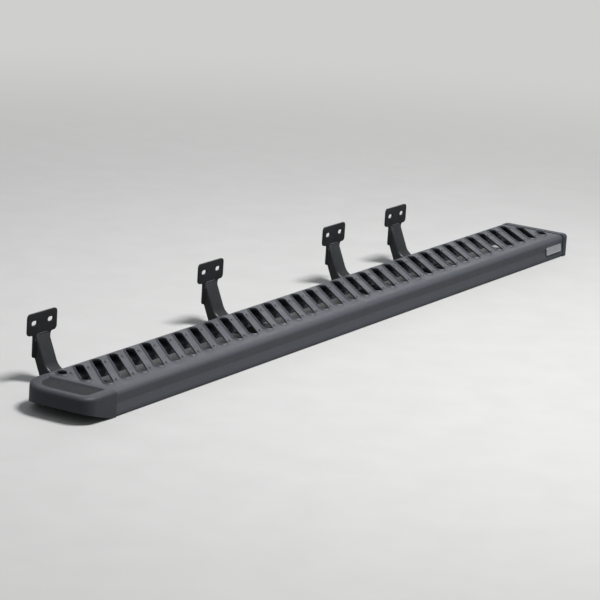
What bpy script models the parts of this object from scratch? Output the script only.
"""Running board for the driver's side of a pickup.

A formed sheet-steel deck with slanted, turned-up slots hangs on four pressed
brackets.  T-bolts slide in two tracks that are welded inside the deck's skirts.
Moulded caps close the ends.

+X runs along the board towards the vehicle's rear, -Y is the outboard side and
+Z is up.  The origin is at the middle of the whole part, on the surface that
its skirt and brackets stand on.
"""
import math

import bmesh
import bpy
from mathutils import Matrix, Vector

# Driving dimensions, in metres.
BOARD_LENGTH = 1.905
BOARD_WIDTH = 0.162
BOARD_HEIGHT = 0.050
SHEET = 0.0025
GAP = 0.0003

# Section of the deck.
OUTER_EDGE_RADIUS = 0.011
INNER_EDGE_RADIUS = 0.006
INNER_SKIRT_DROP = 0.028
SKIRT_LEAN = 0.0010
CREASE_DEPTH = 0.0028
CREASE_HEIGHT = 0.024
BAND_HEIGHT = 0.009
CREASE_RADIUS = 0.006
CURL_DEPTH = 0.0075
CURL_RADIUS = 0.004

# Turned-up slots across the deck, and the round studs between them.
SLOT_PITCH = 0.054
SLOT_ANGLE = math.radians(45)
SLOT_WIDTH = 0.018
SLOT_INNER_BORDER = 0.0115
SLOT_OUTER_BORDER = 0.031
SLOT_PHASE = 0.018
SLOT_END_MARGIN = 0.0035
SHORTEST_SLOT = 0.001
RIM_HEIGHT = 0.0028
RIM_SPREAD = 0.0046
RIM_WAIST = 0.0024
RIM_LIP = 0.0014
RIM_UNDERCUT = 0.0040
STUD_CLEARANCE = 0.0004
STUD_TAPER = 0.0022
STUD_HEIGHT = 0.0026
STUD_INNER_INSET = 0.036
STUD_OUTER_INSET = 0.042
STUD_END_MARGIN = 0.006

# End caps.
FRONT_CAP_REACH = 0.090
REAR_CAP_REACH = 0.025
FRONT_OUTER_CORNER = 0.030
FRONT_CAP_SHOULDER = 0.020
REAR_CORNER = 0.012
CAP_PROUD = 0.0012
CAP_WALL = 0.003
CAP_EDGE_RADIUS = 0.008
CAP_RIM_WIDTH = 0.011
CAP_PANEL_DEPTH = 0.0030
CAP_PANEL_SLOPE = 0.0025
CHIN_RISE = 0.022
CHIN_START = 0.012
TONGUE_LENGTH = 0.035
TONGUE_OUTER_WIDTH = 0.030
TONGUE_INNER_WIDTH = 0.0085
TONGUE_FOOT = 0.004
TONGUE_ROOT_DEPTH = 0.002
CAP_SCREW_RADIUS = 0.0021
CAP_SCREW_TIP_RADIUS = 0.0012
CAP_SCREW_LENGTH = 0.012
CAP_SCREW_HEAD_RADIUS = 0.0048
CAP_SCREW_CROWN_RADIUS = 0.0034
CAP_SCREW_HEAD_HEIGHT = 0.0028
CAP_SCREW_SETBACK = 0.018

# Bolt tracks.
TRACK_WIDTH = 0.034
TRACK_HEIGHT = 0.014
TRACK_MOUTH = 0.012
TRACK_CORNER = 0.003
TRACK_SETBACK = 0.005

# Brackets, each measured from the front end of the board.
BRACKET_1_STATION = 0.195
BRACKET_2_STATION = 0.765
BRACKET_3_STATION = 1.250
BRACKET_4_STATION = 1.520
BRACKET_SHEET = 0.004
BRACKET_WIDTH = 0.042
BRACKET_CORNER = 0.005
ARM_TIP_CLEARANCE = 0.001
ARM_TIP_HEIGHT = 0.010
ARM_TIP_SLOPE = 0.020
BRACKET_REACH = 0.055
BRACKET_BEND = 0.030
RISER_SETBACK = 0.030
RISER_TOP = 0.090
FLANGE_FOOT = 0.012
FLANGE_RADIUS = 0.014
CHANNEL_SETBACK = 0.0012
STEM_FOOT = 0.045
STEM_WIDTH = 0.052
STEM_CORNER = 0.006
TAB_WIDTH = 0.090
TAB_HEIGHT = 0.042
TAB_CORNER = 0.008
TAB_SLOT_SPACING = 0.050
TAB_SLOT_DROP = 0.019
TAB_SLOT_LENGTH = 0.018

# M8 hardware.
BOLT_RADIUS = 0.004
BOLT_HOLE_RADIUS = 0.0045
ARM_SLOT_LENGTH = 0.016
BOLT_HEAD_WIDTH = 0.012
BOLT_HEAD_HEIGHT = 0.005
BOLT_HEAD_PLAY = 0.0015
BOLT_STICK_OUT = 0.0025
BOLT_CHAMFER = 0.001
WASHER_RADIUS = 0.0085
WASHER_THICKNESS = 0.0016
NUT_ACROSS_FLATS = 0.013
NUT_HEIGHT = 0.0065
NUT_CHAMFER = 0.0008

# Facets of round shapes, and how far a cutter runs past what it cuts.
ARC_STEP = math.radians(22.5)
SMOOTH_BELOW = math.radians(35)
CAP_EDGE_SEGMENTS = 3
BRACKET_CORNER_FACETS = 3
SLOT_END_FACETS = 6
BOLT_SLOT_END_FACETS = 4
STUD_FACETS = 8
FASTENER_FACETS = 12
NUT_SIDES = 6
CUT_PAST = 0.002

# Places that follow from the sizes above.
FRONT_END = -BOARD_LENGTH / 2
REAR_END = BOARD_LENGTH / 2
DECK_FRONT = FRONT_END + FRONT_CAP_REACH
DECK_REAR = REAR_END - REAR_CAP_REACH
FRONT_INNER_CORNER = FRONT_CAP_REACH - FRONT_CAP_SHOULDER
OUTER_FACE = -BOARD_WIDTH / 2
INNER_FACE = BOARD_WIDTH / 2
DECK_UNDERSIDE = BOARD_HEIGHT - SHEET
TRACK_BOTTOM = BOARD_HEIGHT - INNER_SKIRT_DROP
OUTER_TRACK_EDGE = OUTER_FACE + CREASE_DEPTH + SHEET + GAP
INNER_TRACK_EDGE = INNER_FACE - SHEET - GAP
OUTER_TRACK_CENTRE = OUTER_TRACK_EDGE + TRACK_WIDTH / 2
INNER_TRACK_CENTRE = INNER_TRACK_EDGE - TRACK_WIDTH / 2
ARM_TOP = TRACK_BOTTOM - GAP
TAB_FACE = INNER_FACE + BRACKET_REACH + RISER_SETBACK
TAB_BACK = TAB_FACE + BRACKET_SHEET
TAB_TOP = RISER_TOP + TAB_HEIGHT
TAB_SLOT_Z = TAB_TOP - TAB_SLOT_DROP
MIDDLE_Y = (OUTER_FACE - CAP_PROUD + TAB_BACK) / 2
BAR_FLAT = SLOT_PITCH * math.sin(SLOT_ANGLE) - SLOT_WIDTH - 2 * RIM_SPREAD
STUD_RADIUS = BAR_FLAT / 2 - STUD_CLEARANCE


def clear_scene():
    for existing in list(bpy.data.objects):
        bpy.data.objects.remove(existing, do_unlink=True)


def new_collection(name):
    collection = bpy.data.collections.new(name)
    bpy.context.scene.collection.children.link(collection)
    return collection


def new_material(name, colour, roughness, metallic):
    material = bpy.data.materials.new(name)
    material.use_nodes = True
    shader = material.node_tree.nodes["Principled BSDF"]
    shader.inputs["Base Color"].default_value = (*colour, 1.0)
    shader.inputs["Roughness"].default_value = roughness
    shader.inputs["Metallic"].default_value = metallic
    return material


clear_scene()
PARTS = new_collection("running_board")
CUTTERS = new_collection("cutters")
COATED_STEEL = new_material("textured_black_powder_coat", (0.020, 0.021, 0.024), 0.6, 0.0)
MOULDED_PLASTIC = new_material("moulded_black_plastic", (0.025, 0.025, 0.027), 0.5, 0.0)
PAINTED_STEEL = new_material("black_painted_steel", (0.016, 0.016, 0.017), 0.45, 0.0)
ZINC_PLATED = new_material("zinc_plated_steel", (0.56, 0.56, 0.53), 0.35, 1.0)


def add_object(name, mesh_builder, material):
    """Make a part's object from a bmesh, with round stretches shaded smooth."""
    mesh = bpy.data.meshes.new(name)
    mesh_builder.to_mesh(mesh)
    mesh_builder.free()
    mesh.materials.append(material)
    mesh.shade_smooth()
    mesh.set_sharp_from_angle(angle=SMOOTH_BELOW)
    part = bpy.data.objects.new(name, mesh)
    PARTS.objects.link(part)
    return part


def add_cutter(name, mesh_builder):
    """Make a guide body that is subtracted from a part or joined to it."""
    mesh = bpy.data.meshes.new(name)
    mesh_builder.to_mesh(mesh)
    mesh_builder.free()
    cutter = bpy.data.objects.new(name, mesh)
    cutter.display_type = "WIRE"
    cutter.hide_render = True
    CUTTERS.objects.link(cutter)
    return cutter


def boolean(part, other, operation):
    modifier = part.modifiers.new(f"{operation.lower()}_{other.name}", "BOOLEAN")
    modifier.operation = operation
    modifier.solver = "EXACT"
    modifier.object = other


def solidify(part, thickness):
    modifier = part.modifiers.new("sheet_thickness", "SOLIDIFY")
    modifier.thickness = thickness
    modifier.offset = -1.0
    modifier.use_even_offset = True


def round_corners(corners, closed=False):
    """Turn (u, v, radius) corners into a polyline whose corners are arcs."""
    count = len(corners)
    points = []
    for index, (u, v, radius) in enumerate(corners):
        here = Vector((u, v))
        at_end = not closed and index in (0, count - 1)
        if radius == 0 or at_end:
            points.append(here)
            continue
        back = (Vector(corners[index - 1][:2]) - here).normalized()
        ahead = (Vector(corners[(index + 1) % count][:2]) - here).normalized()
        opening = back.angle(ahead)
        tangent = radius / math.tan(opening / 2)
        centre = here + (back + ahead).normalized() * (radius / math.sin(opening / 2))
        first = here + back * tangent - centre
        sweep = math.pi - opening
        turn = math.copysign(1.0, back.x * ahead.y - back.y * ahead.x)
        steps = max(2, math.ceil(sweep / ARC_STEP))
        for step in range(steps + 1):
            angle = -turn * sweep * step / steps
            spoke = Matrix.Rotation(angle, 2) @ first
            points.append(centre + spoke)
    return points


def sheet_strip(path, x_start, x_end):
    """An open surface: a (y, z) path drawn out along X."""
    strip = bmesh.new()
    row = [strip.verts.new((x_start, y, z)) for y, z in path]
    edges = [strip.edges.new(pair) for pair in zip(row, row[1:])]
    drawn = bmesh.ops.extrude_edge_only(strip, edges=edges)["geom"]
    moved = [item for item in drawn if isinstance(item, bmesh.types.BMVert)]
    bmesh.ops.translate(strip, verts=moved, vec=(x_end - x_start, 0, 0))
    return strip


def loft(builder, rings):
    """Skin closed rings of points, bottom to top, and close both ends."""
    loops = [[builder.verts.new(point) for point in ring] for ring in rings]
    for lower, upper in zip(loops, loops[1:]):
        for index in range(len(lower)):
            after = (index + 1) % len(lower)
            builder.faces.new((lower[index], lower[after], upper[after], upper[index]))
    builder.faces.new(reversed(loops[0]))
    builder.faces.new(loops[-1])


def obround(start, end, radius, facets):
    """Outline of a slot between two end centres, anticlockwise."""
    heading = math.atan2(end.y - start.y, end.x - start.x)
    outline = []
    for centre, first in ((end, heading - math.pi / 2), (start, heading + math.pi / 2)):
        for step in range(facets + 1):
            angle = first + math.pi * step / facets
            outline.append((centre.x + radius * math.cos(angle), centre.y + radius * math.sin(angle)))
    return outline


def circle(centre, radius, facets):
    return [
        (
            centre[0] + radius * math.cos(2 * math.pi * step / facets),
            centre[1] + radius * math.sin(2 * math.pi * step / facets),
        )
        for step in range(facets)
    ]


def at_height(outline, z):
    return [(x, y, z) for x, y in outline]


def slot_lines():
    """End centres of every slot, cut short where they would meet the deck's ends."""
    slant = 1 / math.tan(SLOT_ANGLE)
    end_room = SLOT_WIDTH / 2 + RIM_SPREAD + SLOT_END_MARGIN
    low_x = DECK_FRONT + end_room
    high_x = DECK_REAR - end_room
    outer_y = OUTER_FACE + SLOT_OUTER_BORDER + SLOT_WIDTH / 2
    inner_y = INNER_FACE - SLOT_INNER_BORDER - SLOT_WIDTH / 2
    lines = []
    middle = DECK_FRONT + SLOT_PHASE - SLOT_PITCH * math.ceil(inner_y * slant / SLOT_PITCH)
    while middle + outer_y * slant < high_x:
        start_y = max(outer_y, (low_x - middle) / slant)
        end_y = min(inner_y, (high_x - middle) / slant)
        if (end_y - start_y) / math.sin(SLOT_ANGLE) >= SHORTEST_SLOT:
            start = Vector((middle + start_y * slant, start_y))
            end = Vector((middle + end_y * slant, end_y))
            lines.append((start, end))
        middle += SLOT_PITCH
    return lines


def stud_places():
    """Two rows of studs, each halfway between neighbouring slots."""
    slant = 1 / math.tan(SLOT_ANGLE)
    low_x = DECK_FRONT + STUD_RADIUS + STUD_END_MARGIN
    high_x = DECK_REAR - STUD_RADIUS - STUD_END_MARGIN
    places = []
    for y in (INNER_FACE - STUD_INNER_INSET, OUTER_FACE + STUD_OUTER_INSET):
        x = DECK_FRONT + SLOT_PHASE + SLOT_PITCH / 2 + y * slant
        x -= SLOT_PITCH * math.floor((x - low_x) / SLOT_PITCH)
        while x <= high_x:
            places.append((x, y))
            x += SLOT_PITCH
    return places


def deck_path():
    """Outer surface of the deck's section, from the outboard curl to the inboard skirt."""
    return round_corners([
        (OUTER_FACE + CURL_DEPTH, 0, 0),
        (OUTER_FACE, 0, CURL_RADIUS),
        (OUTER_FACE, BAND_HEIGHT, CREASE_RADIUS),
        (OUTER_FACE + CREASE_DEPTH, CREASE_HEIGHT, CREASE_RADIUS),
        (OUTER_FACE + SKIRT_LEAN, BOARD_HEIGHT, OUTER_EDGE_RADIUS),
        (INNER_FACE, BOARD_HEIGHT, INNER_EDGE_RADIUS),
        (INNER_FACE, TRACK_BOTTOM, 0),
    ])


def make_deck():
    deck = add_object("deck", sheet_strip(deck_path(), DECK_FRONT, DECK_REAR), COATED_STEEL)
    solidify(deck, SHEET)
    rims = bmesh.new()
    slots = bmesh.new()
    half = SLOT_WIDTH / 2
    for start, end in slot_lines():
        rim_rings = (
            (BOARD_HEIGHT - SHEET / 2, half + RIM_SPREAD),
            (BOARD_HEIGHT + RIM_HEIGHT / 2, half + RIM_WAIST),
            (BOARD_HEIGHT + RIM_HEIGHT, half + RIM_LIP),
        )
        slot_rings = (
            (DECK_UNDERSIDE - CUT_PAST, half + RIM_UNDERCUT),
            (DECK_UNDERSIDE + SHEET / 2, half),
            (BOARD_HEIGHT + RIM_HEIGHT + CUT_PAST, half),
        )
        loft(rims, [at_height(obround(start, end, r, SLOT_END_FACETS), z) for z, r in rim_rings])
        loft(slots, [at_height(obround(start, end, r, SLOT_END_FACETS), z) for z, r in slot_rings])
    studs = bmesh.new()
    stud_rings = (
        (BOARD_HEIGHT - SHEET / 2, STUD_RADIUS),
        (BOARD_HEIGHT + STUD_HEIGHT, STUD_RADIUS - STUD_TAPER),
    )
    for place in stud_places():
        loft(studs, [at_height(circle(place, r, STUD_FACETS), z) for z, r in stud_rings])
    boolean(deck, add_cutter("rims", rims), "UNION")
    boolean(deck, add_cutter("studs", studs), "UNION")
    boolean(deck, add_cutter("slots", slots), "DIFFERENCE")
    return deck


def make_track(name, centre):
    """A C-shaped track that opens downwards."""
    side = TRACK_WIDTH / 2
    mouth = TRACK_MOUTH / 2
    top = TRACK_BOTTOM + TRACK_HEIGHT
    path = round_corners([
        (centre - mouth, TRACK_BOTTOM, 0),
        (centre - side, TRACK_BOTTOM, TRACK_CORNER),
        (centre - side, top, TRACK_CORNER),
        (centre + side, top, TRACK_CORNER),
        (centre + side, TRACK_BOTTOM, TRACK_CORNER),
        (centre + mouth, TRACK_BOTTOM, 0),
    ])
    room = TONGUE_LENGTH + TRACK_SETBACK
    track = add_object(name, sheet_strip(path, DECK_FRONT + room, DECK_REAR - room), COATED_STEEL)
    solidify(track, SHEET)
    return track


def make_cap(name, seam, side, reach, outer_corner, inner_corner, chin_rise, panel):
    """A moulded cap: a shell that is open below, with two tongues inside the deck."""
    half = BOARD_WIDTH / 2 + CAP_PROUD
    top = BOARD_HEIGHT + CAP_PROUD
    nose = seam + side * reach
    outline = round_corners([
        (seam, -half, 0),
        (nose, -half, outer_corner),
        (nose, half, inner_corner),
        (seam, half, 0),
    ], closed=True)
    shell = bmesh.new()
    base = shell.faces.new([shell.verts.new((x, y, 0)) for x, y in outline])
    risen = bmesh.ops.extrude_face_region(shell, geom=[base])["geom"]
    lifted = [item for item in risen if isinstance(item, bmesh.types.BMVert)]
    bmesh.ops.translate(shell, verts=lifted, vec=(0, 0, top))
    rim = [
        edge for edge in shell.edges
        if all(v.co.z > top / 2 for v in edge.verts)
        and any(abs(v.co.x - seam) > GAP for v in edge.verts)
    ]
    bmesh.ops.bevel(
        shell, geom=rim, offset=CAP_EDGE_RADIUS, segments=CAP_EDGE_SEGMENTS, profile=0.5, affect="EDGES")
    bmesh.ops.recalc_face_normals(shell, faces=shell.faces)
    if panel:
        lid = max(shell.faces, key=lambda face: face.normal.z * face.calc_area())
        bmesh.ops.inset_region(shell, faces=[lid], thickness=CAP_RIM_WIDTH, use_even_offset=True)
        bmesh.ops.inset_region(
            shell, faces=[lid], thickness=CAP_PANEL_SLOPE, depth=-CAP_PANEL_DEPTH, use_even_offset=True)
    floor = min(shell.faces, key=lambda face: face.normal.z * face.calc_area())
    bmesh.ops.delete(shell, geom=[floor], context="FACES")
    if chin_rise:
        run = reach - CHIN_START
        bmesh.ops.bisect_plane(
            shell,
            geom=shell.verts[:] + shell.edges[:] + shell.faces[:],
            plane_co=(seam + side * CHIN_START, 0, 0),
            plane_no=(side * chin_rise, 0, -run),
            clear_outer=True,
        )
    cap = add_object(name, shell, MOULDED_PLASTIC)
    solidify(cap, CAP_WALL)
    tongue_top = DECK_UNDERSIDE - GAP
    ends = sorted((seam + side * TONGUE_ROOT_DEPTH, seam - side * TONGUE_LENGTH))
    paths = (
        ("outer", [
            (OUTER_TRACK_EDGE, TRACK_BOTTOM - TONGUE_FOOT, 0),
            (OUTER_TRACK_EDGE, tongue_top, OUTER_EDGE_RADIUS - SHEET),
            (OUTER_TRACK_EDGE + TONGUE_OUTER_WIDTH, tongue_top, 0),
        ]),
        ("inner", [
            (INNER_TRACK_EDGE - TONGUE_INNER_WIDTH, tongue_top, 0),
            (INNER_TRACK_EDGE, tongue_top, INNER_EDGE_RADIUS - SHEET),
            (INNER_TRACK_EDGE, TRACK_BOTTOM + TONGUE_FOOT, 0),
        ]),
    )
    for place, corners in paths:
        tongue = add_cutter(f"{name}_{place}_tongue", sheet_strip(round_corners(corners), *ends))
        solidify(tongue, CAP_WALL)
        boolean(cap, tongue, "UNION")
    return cap


def along_z(place, radius, height, facets):
    return at_height(circle(place, radius, facets), height)


def along_y(place, radius, y, facets):
    """A circle about an axis along Y through an (x, z) place."""
    return [(x, y, z) for x, z in reversed(circle(place, radius, facets))]


def turned(name, outline, place, facets, ring=along_z):
    """A fastener spun from a (radius, height) outline, lowest ring first."""
    builder = bmesh.new()
    loft(builder, [ring(place, radius, height, facets) for radius, height in outline])
    return add_object(name, builder, ZINC_PLATED)


def screw_place(seam, side):
    return seam - side * CAP_SCREW_SETBACK, (TRACK_BOTTOM + BOARD_HEIGHT) / 2


def make_cap_screw(name, seam, side):
    """A pan-head screw through the deck's inboard skirt into the cap's tongue."""
    seat = INNER_FACE + GAP
    outline = (
        (CAP_SCREW_TIP_RADIUS, seat - CAP_SCREW_LENGTH),
        (CAP_SCREW_RADIUS, seat - CAP_SCREW_LENGTH + CAP_SCREW_RADIUS),
        (CAP_SCREW_RADIUS, seat),
        (CAP_SCREW_HEAD_RADIUS, seat),
        (CAP_SCREW_HEAD_RADIUS, seat + CAP_SCREW_HEAD_HEIGHT / 2),
        (CAP_SCREW_CROWN_RADIUS, seat + CAP_SCREW_HEAD_HEIGHT),
    )
    return turned(name, outline, screw_place(seam, side), FASTENER_FACETS, along_y)


def cut_screw_holes(deck, caps):
    """Pierce the inboard skirt and the cap's tongue behind it for each cap screw."""
    holes = bmesh.new()
    for seam, side in ((DECK_FRONT, -1), (DECK_REAR, 1)):
        ends = (INNER_FACE - CAP_SCREW_LENGTH - CUT_PAST, INNER_FACE + CUT_PAST)
        place = screw_place(seam, side)
        loft(holes, [along_y(place, CAP_SCREW_RADIUS + GAP, y, FASTENER_FACETS) for y in ends])
    cutter = add_cutter("cap_screw_holes", holes)
    for part in (deck, *caps):
        boolean(part, cutter, "DIFFERENCE")


def channel_rows(x, side, web):
    """Rows of points down one side of a bracket, from its flat web round the corner."""
    level = math.radians(90)
    rows = []
    for index, point in enumerate(web):
        before = web[max(index - 1, 0)]
        after = web[min(index + 1, len(web) - 1)]
        along = (after - before).normalized()
        inward = Vector((along.y, -along.x))
        row = []
        for step in range(BRACKET_CORNER_FACETS + 1):
            angle = level * step / BRACKET_CORNER_FACETS
            across = BRACKET_WIDTH / 2 - BRACKET_CORNER * (1 - math.sin(angle))
            place = point + inward * BRACKET_CORNER * (1 - math.cos(angle))
            row.append((x + side * across, place.x, place.y))
        rows.append(row)
    return rows


def bracket_channel(x):
    """Outer surface of a pressed channel: arm, riser and the flanges that stiffen them."""
    tip = OUTER_FACE + CURL_DEPTH + ARM_TIP_CLEARANCE
    elbow = INNER_FACE + BRACKET_REACH
    lean = math.atan2(RISER_SETBACK, RISER_TOP - ARM_TOP)
    buried = TAB_BACK - CHANNEL_SETBACK
    head = buried - BRACKET_CORNER * math.cos(lean)
    web = round_corners([
        (tip, ARM_TOP, 0),
        (tip + ARM_TIP_SLOPE, ARM_TOP, 0),
        (elbow, ARM_TOP, BRACKET_BEND),
        (head, RISER_TOP, 0),
    ])
    free_edge = round_corners([
        (buried, RISER_TOP - BRACKET_WIDTH / 2, 0),
        (buried, STEM_FOOT + STEM_CORNER, 0),
        (elbow + FLANGE_FOOT, 0, FLANGE_RADIUS),
        (tip + ARM_TIP_SLOPE, 0, 0),
        (tip, ARM_TIP_HEIGHT, 0),
    ])
    channel = bmesh.new()
    left, right = (
        [[channel.verts.new(point) for point in row] for row in channel_rows(x, side, web)]
        for side in (-1, 1)
    )
    for rows, flip in ((left, True), (right, False)):
        for row, row_after in zip(rows, rows[1:]):
            for inner, outer, outer_after, inner_after in zip(row, row[1:], row_after[1:], row_after):
                corners = (inner, outer, outer_after, inner_after)
                channel.faces.new(reversed(corners) if flip else corners)
        plane_x = rows[0][-1].co.x
        flange = [row[-1] for row in rows]
        flange += [channel.verts.new((plane_x, y, z)) for y, z in free_edge]
        channel.faces.new(flange if flip else reversed(flange))
    for row, row_after, mirror, mirror_after in zip(right, right[1:], left, left[1:]):
        channel.faces.new((mirror[0], row[0], row_after[0], mirror_after[0]))
    return channel


def bracket_tab(x):
    """A T-shaped plate: slotted across the top, its stem welded to the channel."""
    wide = TAB_WIDTH / 2
    stem = STEM_WIDTH / 2
    outline = round_corners([
        (x + stem, STEM_FOOT, STEM_CORNER),
        (x + stem, RISER_TOP, STEM_CORNER),
        (x + wide, RISER_TOP, TAB_CORNER),
        (x + wide, TAB_TOP, TAB_CORNER),
        (x - wide, TAB_TOP, TAB_CORNER),
        (x - wide, RISER_TOP, TAB_CORNER),
        (x - stem, RISER_TOP, STEM_CORNER),
        (x - stem, STEM_FOOT, STEM_CORNER),
    ], closed=True)
    tab = bmesh.new()
    loft(tab, [[(px, y, pz) for px, pz in outline] for y in (TAB_BACK, TAB_FACE)])
    return tab


def make_bracket(number, x):
    """A pressed channel welded to its tab, with slots for the bolts at both ends."""
    bracket = add_object(f"bracket_{number}", bracket_channel(x), PAINTED_STEEL)
    solidify(bracket, BRACKET_SHEET)
    boolean(bracket, add_cutter(f"bracket_{number}_tab", bracket_tab(x)), "UNION")
    slots = bmesh.new()
    for y in (OUTER_TRACK_CENTRE, INNER_TRACK_CENTRE):
        reach = Vector((0, ARM_SLOT_LENGTH / 2 - BOLT_HOLE_RADIUS))
        centre = Vector((x, y))
        outline = obround(centre - reach, centre + reach, BOLT_HOLE_RADIUS, BOLT_SLOT_END_FACETS)
        ends = (ARM_TOP - BRACKET_SHEET - CUT_PAST, ARM_TOP + CUT_PAST)
        loft(slots, [at_height(outline, z) for z in ends])
    for offset in (-TAB_SLOT_SPACING / 2, TAB_SLOT_SPACING / 2):
        centre = Vector((x + offset, TAB_SLOT_Z))
        reach = Vector((TAB_SLOT_LENGTH / 2 - BOLT_HOLE_RADIUS, 0))
        outline = obround(centre - reach, centre + reach, BOLT_HOLE_RADIUS, BOLT_SLOT_END_FACETS)
        ends = (TAB_BACK + CUT_PAST, TAB_FACE - CUT_PAST)
        loft(slots, [[(px, y, pz) for px, pz in outline] for y in ends])
    boolean(bracket, add_cutter(f"bracket_{number}_slots", slots), "DIFFERENCE")
    return bracket


def pierced(name, outline, place, facets):
    """A washer or nut: a turned or hexagonal blank with a hole for the bolt."""
    blank = turned(name, outline, place, facets)
    hole = bmesh.new()
    ends = (outline[0][1] - CUT_PAST, outline[-1][1] + CUT_PAST)
    loft(hole, [along_z(place, BOLT_RADIUS + GAP, z, FASTENER_FACETS) for z in ends])
    boolean(blank, add_cutter(f"{name}_hole", hole), "DIFFERENCE")
    return blank


def make_fasteners(number, track, x, y):
    """T-bolt, washer and nut that clamp one bracket to one track."""
    place = (x, y)
    washer_top = ARM_TOP - BRACKET_SHEET - GAP
    washer_bottom = washer_top - WASHER_THICKNESS
    nut_top = washer_bottom - GAP
    nut_bottom = nut_top - NUT_HEIGHT
    bolt_end = nut_bottom - BOLT_STICK_OUT
    head_bottom = TRACK_BOTTOM + SHEET + GAP
    head_middle = head_bottom + BOLT_HEAD_HEIGHT / 2
    head_length = TRACK_WIDTH - 2 * SHEET - 2 * BOLT_HEAD_PLAY
    bolt = turned(f"{track}_t_bolt_{number}", (
        (BOLT_RADIUS - BOLT_CHAMFER, bolt_end),
        (BOLT_RADIUS, bolt_end + BOLT_CHAMFER),
        (BOLT_RADIUS, head_middle),
    ), place, FASTENER_FACETS)
    head = bmesh.new()
    size = Matrix.Diagonal((BOLT_HEAD_WIDTH, head_length, BOLT_HEAD_HEIGHT, 1))
    bmesh.ops.create_cube(head, size=1, matrix=Matrix.Translation((x, y, head_middle)) @ size)
    boolean(bolt, add_cutter(f"{track}_t_bolt_{number}_head", head), "UNION")
    pierced(f"{track}_washer_{number}", (
        (WASHER_RADIUS, washer_bottom),
        (WASHER_RADIUS, washer_top),
    ), place, FASTENER_FACETS)
    corner = NUT_ACROSS_FLATS / math.sqrt(3)
    pierced(f"{track}_nut_{number}", (
        (corner - NUT_CHAMFER, nut_bottom),
        (corner, nut_bottom + NUT_CHAMFER / 2),
        (corner, nut_top - NUT_CHAMFER / 2),
        (corner - NUT_CHAMFER, nut_top),
    ), place, NUT_SIDES)


def centre_on_origin():
    """Hang every part and cutter from one empty that puts the origin in the middle."""
    holder = bpy.data.objects.new("vehicle_frame", None)
    PARTS.objects.link(holder)
    holder.location = (0, -MIDDLE_Y, 0)
    for item in [*PARTS.objects, *CUTTERS.objects]:
        if item is not holder:
            item.parent = holder


def main():
    deck = make_deck()
    make_track("outer_track", OUTER_TRACK_CENTRE)
    make_track("inner_track", INNER_TRACK_CENTRE)
    front_cap = make_cap(
        "front_end_cap", DECK_FRONT - GAP, -1, FRONT_CAP_REACH - GAP,
        FRONT_OUTER_CORNER, FRONT_INNER_CORNER, CHIN_RISE, panel=True)
    rear_cap = make_cap(
        "rear_end_cap", DECK_REAR + GAP, 1, REAR_CAP_REACH - GAP,
        REAR_CORNER, REAR_CORNER, 0, panel=False)
    cut_screw_holes(deck, (front_cap, rear_cap))
    make_cap_screw("front_cap_screw", DECK_FRONT, -1)
    make_cap_screw("rear_cap_screw", DECK_REAR, 1)
    stations = (BRACKET_1_STATION, BRACKET_2_STATION, BRACKET_3_STATION, BRACKET_4_STATION)
    for number, station in enumerate(stations, start=1):
        x = FRONT_END + station
        make_bracket(number, x)
        make_fasteners(number, "outer", x, OUTER_TRACK_CENTRE)
        make_fasteners(number, "inner", x, INNER_TRACK_CENTRE)
    centre_on_origin()


main()
